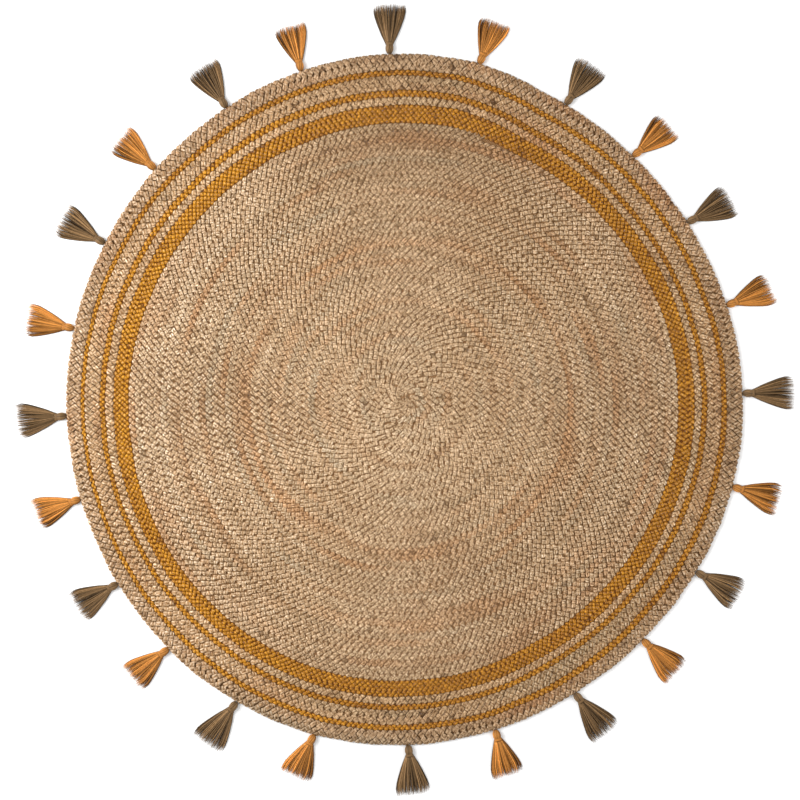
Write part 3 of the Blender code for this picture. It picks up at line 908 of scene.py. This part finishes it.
def fan_paths(tassel, layer, draw):
    """Paths of the loose yarns. They start side by side in the neck and spread evenly to the
    fan's curved sides, drawing together in locks towards the tips. Each parting pushes the
    top ones aside. beside says how far a yarn lies from the middle of its lock."""
    yarns = layer.yarns
    place = np.linspace(-0.97, 0.97, yarns) + draw.normal(0, 0.5 / yarns, yarns)
    if layer is LOWER:
        place = np.linspace(-1.0, 1.0, yarns)
    cut_right, cut_left = CORNER_CUTS[tassel.yarn]
    cut = np.where(place > 0, cut_left, cut_right) * np.abs(place) ** 3
    shorter = cut + np.abs(draw.normal(0, UNEVEN, yarns)) + layer.shorter
    longest = tassel.reach * (LONGEST - shorter)
    share = np.linspace(0.0, 1.0, FAN_STEPS)[None, :]
    along = FAN_START + (longest[:, None] - FAN_START) * share
    reached = along / tassel.reach
    centre = np.linspace(-0.95, 0.95, LOCKS) + draw.normal(0.0, UNEVEN, LOCKS)
    nearest = centre[np.abs(place[:, None] - centre[None, :]).argmin(1)]
    beside = np.clip(np.abs(nearest - place) / LOCK_REACH, 0.0, 1.0)
    gathered = np.clip((reached - LOCKS_START) / (1.0 - LOCKS_START), 0.0, 1.0) * layer.gathered
    held = place[:, None] + gathered * (nearest - place)[:, None]
    tips = np.where(place > 0, tassel.left, tassel.right)[:, None]
    opened = np.interp(reached, FAN_AT, FAN_OPEN)
    across = held * (NECK.width / 2 * 0.93 + (tips - NECK.width / 2) * opened)
    sideways = draw.normal(0, SWAY, (yarns, 1))
    bends = draw.uniform(3, 7, (yarns, 1))
    sway = sideways * np.sin(share * bends + draw.uniform(0, 6, (yarns, 1)))
    raised = 1.2 + 2.6 * draw.uniform(0.0, 1.0, (yarns, 1))
    if layer is UPPER:
        for parting in PARTINGS[tassel.yarn]:
            away = place[:, None] - parting.at
            widened = (reached - parting.starts) / (PARTED_AT - parting.starts)
            push = np.sin(0.5 * math.pi * np.clip(widened, 0.0, 1.3))
            push = np.tanh(away / 0.02) * parting.wide / 2 * push
            across = across + push * np.exp(-np.abs(away) / PARTING_REACH)
        across = across + sway * share
    round_top = np.sqrt(np.clip(1.0 - place[:, None] ** 2, 0.0, 1.0))
    neck_height = 1.2 + (NECK.top - 2.4) * (0.25 + 0.65 * round_top) * layer.at_neck
    tip_height = TIP_HEIGHT + raised * layer.at_tips
    fall = 1.0 - (1.0 - share) ** 1.8
    return place, beside, along, across, neck_height + (tip_height - neck_height) * fall


def tassel_piece(tassel, number, material, yarn_width):
    """A whole tassel: the knot, its binding, the yarns below and the yarns on top. Tassels of
    a colour have like fans, and each has its own scatter. A yarn's shade scatters by itself
    and with its two neighbours, and takes painted shade beside its lock and across the fan."""
    draw = np.random.default_rng(500 + (tassel.yarn == "orange"))
    own = np.random.default_rng(700 + number)
    bound = binding(tassel)
    parts = [head_shape(tassel), (*bound, np.full((len(bound[0]), 4), BINDING_SHADE))]
    for layer in (LOWER, UPPER):
        yarns = layer.yarns
        place, beside, along, across, height = fan_paths(tassel, layer, draw)
        across = across + own.normal(0, 0.25, (yarns, 1)) * (along - FAN_START) / 80.0
        radius = yarn_width / MM / 2 * own.normal(1.0, 0.08, (yarns, 1))
        radius = radius * layer.thick * YARN_TAPER
        points, faces = tubes(tassel, along, across, height, radius)
        grouped = np.repeat(own.normal(0.0, 0.40, yarns // 3 + 1), 3)[:yarns]
        # painted shade beside each lock
        shade = (1.08 + grouped + own.normal(0.0, 0.22, yarns)) * (1.24 - 0.5 * beside)
        shade = np.clip(shade, 0.25, 2.1)
        across_fan = np.interp(place, FAN_PLACES, FAN_PAINTED_SHADES[tassel.yarn])
        # Painted shade across the fan, and on the lower layer, which lies under the top yarns. The
        # lower yarns' tops also take the shade colour between yarns, and their undersides are spared
        # some of it.
        shade = shade * (LOWER_SHADE if layer is LOWER else across_fan)
        tint = np.repeat(shade, FAN_STEPS * YARN_SIDES)[:, None] * np.ones(4)
        underneath = np.tile(np.arange(YARN_SIDES) == YARN_SIDES - 1, along.size)
        tint[:, :3] *= np.where(underneath & (layer is LOWER), UNDERNEATH_SHADE, 1.0)[:, None]
        tint[:, 3] = underneath | (layer is UPPER)
        round_yarn = np.tile(np.arange(YARN_SIDES) * 0.5, along.size)
        round_yarn = round_yarn + np.repeat(own.uniform(0, 30, yarns), FAN_STEPS * YARN_SIDES)
        strand = np.stack([np.repeat(along.ravel() / 6.0, YARN_SIDES), round_yarn], -1)
        parts.append((points, faces, strand, tint))
    start, faces = 0, []
    for part in parts:
        faces += [face + start for face in part[1]]
        start += len(part[0])
    points, strands, tints = (np.concatenate([part[i] for part in parts]) for i in (0, 2, 3))
    name = f"{tassel.yarn}_tassel_{number:02d}"
    return new_piece(name, points, faces, material, tints, strands)


def binding(tassel):
    """The thread round the neck: a tube along a helix on the neck's ellipse."""
    sides, thread, turns, steps = 5, 0.85, 3.0, 42
    sweep = np.linspace(0, 2 * math.pi * turns, steps)[None, :]
    along = NECK.along - 1.5 + 1.25 * sweep / (2 * math.pi)
    half, tall = NECK.width / 2 + 0.3, NECK.top / 2 + 0.3
    turn = 2 * math.pi * np.arange(sides)[None, None, :] / sides
    out = 1.0 + thread * np.cos(turn) / half
    across = -(half * out) * np.sin(sweep)[..., None]
    height = NECK.top / 2 - (tall + thread * np.cos(turn)) * np.cos(sweep)[..., None]
    lengthwise = along[..., None] + thread * np.sin(turn)
    points = placed(tassel, lengthwise, across, np.maximum(height, 0.05)).reshape(-1, 3)
    side = np.arange(sides)
    caps = np.stack([side[::-1], (steps - 1) * sides + side])
    return points, [grid_faces(steps, sides), caps], np.zeros((len(points), 2))


# ---------------------------------------------------------------- materials

def add_node(tree, kind, inputs, **settings):
    """A new shader node's outputs. inputs names or numbers its sockets, and gives what each
    takes: an output to link it to, or a value."""
    node = tree.nodes.new(f"ShaderNode{kind}")
    for name, value in settings.items():
        setattr(node, name, value)
    for name, value in inputs.items():
        if isinstance(value, bpy.types.NodeSocket):
            tree.links.new(value, node.inputs[name])
        else:
            node.inputs[name].default_value = value
    return node.outputs


def math_node(tree, operation, *inputs):
    """The output of a Math node on some outputs or numbers."""
    return add_node(tree, "Math", dict(enumerate(inputs)), operation=operation)["Value"]


def new_group(name, inputs, outputs):
    """A node group with sockets of these names and kinds, and its ends inside."""
    group = bpy.data.node_groups.new(name, "ShaderNodeTree")
    for way, sockets in (("INPUT", inputs), ("OUTPUT", outputs)):
        for label, kind in sockets.items():
            group.interface.new_socket(label, in_out=way, socket_type=f"NodeSocket{kind}")
    given, result = group.nodes.new("NodeGroupInput"), group.nodes.new("NodeGroupOutput")
    return group, given.outputs, result.inputs


def fibre_group():
    """Fine fibres along a strand: noise stretched along it. Its outputs are shade factors for
    red, green and blue, and a height, and both vary over the surface."""
    if "fibre_streaks" in bpy.data.node_groups:
        return bpy.data.node_groups["fibre_streaks"]
    inputs = {"Strand": "Vector", "Along": "Float", "Across": "Float", "Contrast": "Float"}
    outputs = {"Shade": "Vector", "Height": "Float"}
    group, given, result = new_group("fibre_streaks", inputs, outputs)
    stretch = add_node(group, "CombineXYZ", {"X": given["Along"], "Y": given["Across"]})
    scaled = add_node(
        group, "VectorMath", {0: given["Strand"], 1: stretch["Vector"]}, operation="MULTIPLY"
    )
    looks = {"Vector": scaled["Vector"], "Scale": 1.0, "Detail": 3.0, "Roughness": 0.6}
    noise = add_node(group, "TexNoise", looks, noise_dimensions="2D")
    spread = add_node(group, "MapRange", {
        "Value": noise["Fac"], "From Min": 0.25, "From Max": 0.75, "To Min": -1.0, "To Max": 1.0,
    })
    strength = math_node(group, "MULTIPLY", spread["Result"], given["Contrast"])
    # lighter fibres are drawn paler, a painted sheen, and darker ones deeper, a painted shade
    factors = {0: strength, 1: SHEEN_AND_SHADE_POWERS, 2: (1.0, 1.0, 1.0)}
    shade = add_node(group, "VectorMath", factors, operation="MULTIPLY_ADD")
    group.links.new(shade["Vector"], result["Shade"])
    group.links.new(noise["Fac"], result["Height"])
    return group


def plait_group():
    """Braid drawn on a flat side, from coordinates that count chevrons along it and turns
    across it. The sum and the difference of the two run across the two sets of lobes, so
    their fractions place a point in its lobe. The lobe is full at its middle and falls to
    nothing at its sides. As a crest it paints shade at the lobes' sides, and it is also
    their height."""
    if "plait" in bpy.data.node_groups:
        return bpy.data.node_groups["plait"]
    outputs = {"Crest": "Float", "Height": "Float"}
    group, given, result = new_group("plait", {"Strand": "Vector"}, outputs)
    split = add_node(group, "SeparateXYZ", {"Vector": given["Strand"]})
    sides = []
    for operation, offset in (("ADD", 0.25), ("SUBTRACT", -0.25)):
        way = math_node(group, operation, split["X"], split["Y"])
        place = math_node(group, "FRACT", math_node(group, "ADD", way, offset))
        middle = math_node(group, "SUBTRACT", place, 0.5)
        away = math_node(group, "MULTIPLY", math_node(group, "ABSOLUTE", middle), 2.0)
        sides.append(math_node(group, "SUBTRACT", 1.0, math_node(group, "POWER", away, 3.0)))
    crest = math_node(group, "POWER", math_node(group, "MULTIPLY", *sides), 0.6)
    group.links.new(crest, result["Crest"])
    group.links.new(crest, result["Height"])
    return group


# A material's looks. along and across scale its fibres, and contrast and depth, in metres, are
# how strongly they show and stand out. polish is how pale the painted highlight on
# its highest crests is.
Finish = namedtuple("Finish", "along across contrast depth roughness specular polish")
TASSEL_FINISH = Finish(1.0, 3.0, 0.35, 0.3 * MM, 0.5, 0.12, 0.0)
FINISHES = {
    "natural_jute_strands": Finish(1.4, 3.6, 1.05, 0.8 * MM, 0.5, 0.35, 0.7),
    "ochre_jute_strands": Finish(1.4, 3.6, 1.05, 0.8 * MM, 0.5, 0.35, 0.12),
    "natural_jute_underside": Finish(3.0, 12.0, 0.2, 3.0 * MM, 0.5, 0.4, 0.0),
    "brown_tassel_yarns": TASSEL_FINISH,
    "orange_tassel_yarns": TASSEL_FINISH,
}
PAINTED_HIGHLIGHT_COLOUR = (0.98, 0.80, 0.60, 1.0)    # the pale painted highlight on the highest crests
PAINTED_SHADE_UNTIL = 0.12             # the crest below which a point has the painted shade between strands
PAINTED_LIGHT_FROM = 0.95               # and the one from which it has all of the lit crests' colour
FIBRE_ROUGHNESS = 0.15       # how much rougher the paler fibres are


def yarn_material(name, settings):
    """A yarn. Its colour runs from the painted shade between strands to the colour of their
    crests, with a pale painted highlight on the highest, as the piece's tint says, and is
    multiplied by the tint and the fibres' shade. The fibres are also fine relief. On the
    underside the strands themselves come from the plait group."""
    if name in bpy.data.materials:
        return bpy.data.materials[name]
    finish = FINISHES[name]
    yarn = name.split("_")[0]
    material = bpy.data.materials.new(name)
    material.use_nodes = True
    tree = material.node_tree
    shader = tree.nodes["Principled BSDF"].inputs
    shader["Specular IOR Level"].default_value = finish.specular
    strand = add_node(tree, "UVMap", {}, uv_map="strand")["UV"]
    scales = {"Along": finish.along, "Across": finish.across, "Contrast": finish.contrast}
    fibres = add_node(tree, "Group", {"Strand": strand, **scales}, node_tree=fibre_group())
    tint = add_node(tree, "Attribute", {}, attribute_name="tint")
    crest = tint["Alpha"]
    height = fibres["Height"]
    if name == "natural_jute_underside":
        plait = add_node(tree, "Group", {"Strand": strand}, node_tree=plait_group())
        crest = math_node(tree, "MULTIPLY", crest, plait["Crest"])
        height = plait["Height"]
    painted_shade_to_light = add_node(tree, "MapRange", {"Value": crest, "From Min": PAINTED_SHADE_UNTIL, "From Max": PAINTED_LIGHT_FROM})
    painted_highlight_mix = add_node(tree, "MapRange", {
        "Value": crest, "From Min": HIGHLIGHT_STARTS, "To Max": finish.polish,
    })
    colour = add_node(tree, "Mix", {
        "Factor": painted_shade_to_light["Result"],
        "A": (*getattr(settings, f"{yarn}_shade"), 1.0),
        "B": (*getattr(settings, f"{yarn}_colour"), 1.0),
    }, data_type="RGBA")
    looks = {"Factor": painted_highlight_mix["Result"], "A": colour["Result"], "B": PAINTED_HIGHLIGHT_COLOUR}
    colour = add_node(tree, "Mix", looks, data_type="RGBA")["Result"]
    for factor in (tint["Color"], fibres["Shade"]):
        product = add_node(tree, "VectorMath", {0: colour, 1: factor}, operation="MULTIPLY")
        colour = product["Vector"]
    tree.links.new(colour, shader["Base Color"])
    base = finish.roughness - FIBRE_ROUGHNESS
    rough = math_node(tree, "MULTIPLY_ADD", fibres["Shade"], FIBRE_ROUGHNESS, base)
    tree.links.new(rough, shader["Roughness"])
    bump = add_node(tree, "Bump", {"Height": height, "Strength": 0.7, "Distance": finish.depth})
    tree.links.new(bump["Normal"], shader["Normal"])
    return material


# ---------------------------------------------------------------- operators

def settle(piece, slot, *nodes):
    """Makes a piece ride on the rug and stand for its solids. slot is not used."""
    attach(piece, "root")
    if nodes:
        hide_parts(*nodes)


class RUG_OT_centre_coil(bpy.types.Operator):
    """Build the lobes of the centre coil in three pieces"""

    bl_idname = "rug.centre_coil"
    bl_label = "Centre Coil"

    def execute(self, context):
        braid = context.scene.rug_braid
        material = yarn_material("natural_jute_strands", braid)
        for number, (name, first, last) in enumerate(COIL_PIECES):
            runs = coil_runs(braid.coil_chevron, first, last)
            seed = 100 + number
            piece = braid_piece(name, runs, "natural", FIELD_CELLS, material, braid.stray, seed)
            settle(piece, "natural_jute", COIL_EDGE.name)
        return {"FINISHED"}


class RUG_OT_rings(bpy.types.Operator):
    """Build the lobes of the dyed and undyed rings round the centre coil"""

    bl_idname = "rug.rings"
    bl_label = "Rings"

    def execute(self, context):
        braid = context.scene.rug_braid
        for number, edge in enumerate(EDGES[1:], start=1):
            natural = edge.yarn == "natural"
            runs = ring_runs(number, braid.natural_chevron if natural else braid.ochre_chevron)
            cells = RIM_CELLS if edge is RIM_EDGE else RING_CELLS if natural else DYED_CELLS
            tint = RING_TINTS.get(edge.name, 1.0)
            name = f"{edge.name}_braid"
            material = yarn_material(f"{edge.yarn}_jute_strands", braid)
            seed = 200 + number
            piece = braid_piece(name, runs, edge.yarn, cells, material, braid.stray, seed, tint)
            settle(piece, f"{edge.yarn}_jute", edge.name)
        return {"FINISHED"}


class RUG_OT_tassels(bpy.types.Operator):
    """Build the tassels round the rim"""

    bl_idname = "rug.tassels"
    bl_label = "Tassels"

    def execute(self, context):
        sizes = context.scene.rug_tassel
        for number, tassel in enumerate(TASSELS, start=1):
            material = yarn_material(f"{tassel.yarn}_tassel_yarns", sizes)
            piece = tassel_piece(tassel, number, material, sizes.yarn_width)
            settle(piece, f"{tassel.yarn}_yarn", f"tassel_{number:02d}_{tassel.yarn}")
        return {"FINISHED"}


class RUG_OT_bed(bpy.types.Operator):
    bl_idname = "rug.bed"
    bl_label = "Underside"

    def execute(self, context):
        braid = context.scene.rug_braid
        chevrons = {"natural": braid.natural_chevron, "ochre": braid.ochre_chevron}
        material = yarn_material("natural_jute_underside", braid)
        bed = bed_piece(material, braid.bed_height, braid.stray, chevrons)
        settle(bed, "natural_jute", *[edge.name for edge in EDGES])
        return {"FINISHED"}


class RUG_OT_stage(bpy.types.Operator):
    """Build the floor, the light and the camera"""

    bl_idname = "rug.stage"
    bl_label = "Stage"

    def execute(self, context):
        stage = context.scene.rug_stage
        make_floor(stage.floor_colour)
        make_light(context.scene)
        make_camera(context.scene, stage.frame_width, stage.lens)
        return {"FINISHED"}


MIDDLE_PIXEL = (404.0, 401.0)    # where the middle of the rug lies in the photograph
PHOTO_PIXELS = 800.0
FLOOR_DROP = 0.2 * MM            # keeps the floor just under the rug
FLOOR_HALF = 7.0                 # metres, half the floor's side
SURROUND = 0.545                 # strength of the pale surround
LAMP_SIZE = 3.2                  # metres across
LAMPS = (                        # name, place, power in watts
    ("left_lamp", (-3.0, 0.6, 2.2), 190.0),
    ("right_lamp", (3.0, 0.1, 2.2), 66.0),
)


def make_floor(colour):
    """A wide plain floor."""
    corners = FLOOR_HALF * np.array([[-1, -1], [1, -1], [1, 1], [-1, 1]])
    points = np.column_stack([corners, np.full(4, -FLOOR_DROP)])
    material = bpy.data.materials.new("plain_floor")
    material.use_nodes = True
    shader = material.node_tree.nodes["Principled BSDF"]
    shader.inputs["Base Color"].default_value = (*colour, 1.0)
    shader.inputs["Roughness"].default_value = 0.9
    shader.inputs["Specular IOR Level"].default_value = 0.1
    face = np.array([[0, 1, 2, 3]])
    new_piece("studio_floor", points, [face], material, np.ones((4, 4)))


def make_light(scene):
    """A broad soft lamp on each side, above, and an even pale surround."""
    world = bpy.data.worlds.new("studio")
    world.use_nodes = True
    background = world.node_tree.nodes["Background"]
    background.inputs["Color"].default_value = (1.0, 1.0, 1.0, 1.0)
    background.inputs["Strength"].default_value = SURROUND
    scene.world = world
    for name, place, energy in LAMPS:
        lamp = bpy.data.lights.new(name, "AREA")
        lamp.shape = "DISK"
        lamp.size = LAMP_SIZE
        lamp.energy = energy
        key = bpy.data.objects.new(name, lamp)
        key.location = place
        aim = -np.array(place)
        tilt = math.atan2(math.hypot(aim[0], aim[1]), -aim[2])
        key.rotation_euler = (tilt, 0.0, math.atan2(aim[1], aim[0]) - math.pi / 2)
        scene.collection.objects.link(key)
    scene.view_settings.view_transform = "Standard"


def make_camera(scene, width, lens):
    """Straight above, so that the rug's middle falls where the photograph has it."""
    data = bpy.data.cameras.new("camera")
    data.lens = lens
    camera = bpy.data.objects.new("camera", data)
    pixel = width / PHOTO_PIXELS
    east = (PHOTO_PIXELS / 2 - MIDDLE_PIXEL[0]) * pixel
    north = (MIDDLE_PIXEL[1] - PHOTO_PIXELS / 2) * pixel
    camera.location = (east, north, width * lens / data.sensor_width)
    scene.collection.objects.link(camera)
    scene.camera = camera


class RUG_PT_panel(bpy.types.Panel):
    """The rug's sizes, colours and build steps"""

    bl_idname = "RUG_PT_panel"
    bl_label = "Round Jute Rug"
    bl_space_type = "VIEW_3D"
    bl_region_type = "UI"
    bl_category = "Rug"

    def draw(self, context):
        for group, kind in SETTINGS:
            settings = getattr(context.scene, group)
            for name in kind.__annotations__:
                self.layout.prop(settings, name)
        for step in STEPS:
            self.layout.operator(step.bl_idname)


SETTINGS = (
    ("rug_braid", RugBraidSettings),
    ("rug_tassel", RugTasselSettings),
    ("rug_stage", RugStageSettings),
)
STEPS = (RUG_OT_centre_coil, RUG_OT_rings, RUG_OT_tassels, RUG_OT_bed, RUG_OT_stage)


def register():
    for name, settings in SETTINGS:
        bpy.utils.register_class(settings)
        setattr(bpy.types.Scene, name, bpy.props.PointerProperty(type=settings))
    for item in (*STEPS, RUG_PT_panel):
        bpy.utils.register_class(item)


def unregister():
    for item in reversed((*STEPS, RUG_PT_panel)):
        bpy.utils.unregister_class(item)
    for name, settings in reversed(SETTINGS):
        delattr(bpy.types.Scene, name)
        bpy.utils.unregister_class(settings)


def main():
    """Registers the add-on and builds every piece."""
    register()
    bpy.ops.rug.centre_coil()
    bpy.ops.rug.rings()
    bpy.ops.rug.tassels()
    bpy.ops.rug.bed()
    bpy.ops.rug.stage()


if __name__ == "__main__":
    main()
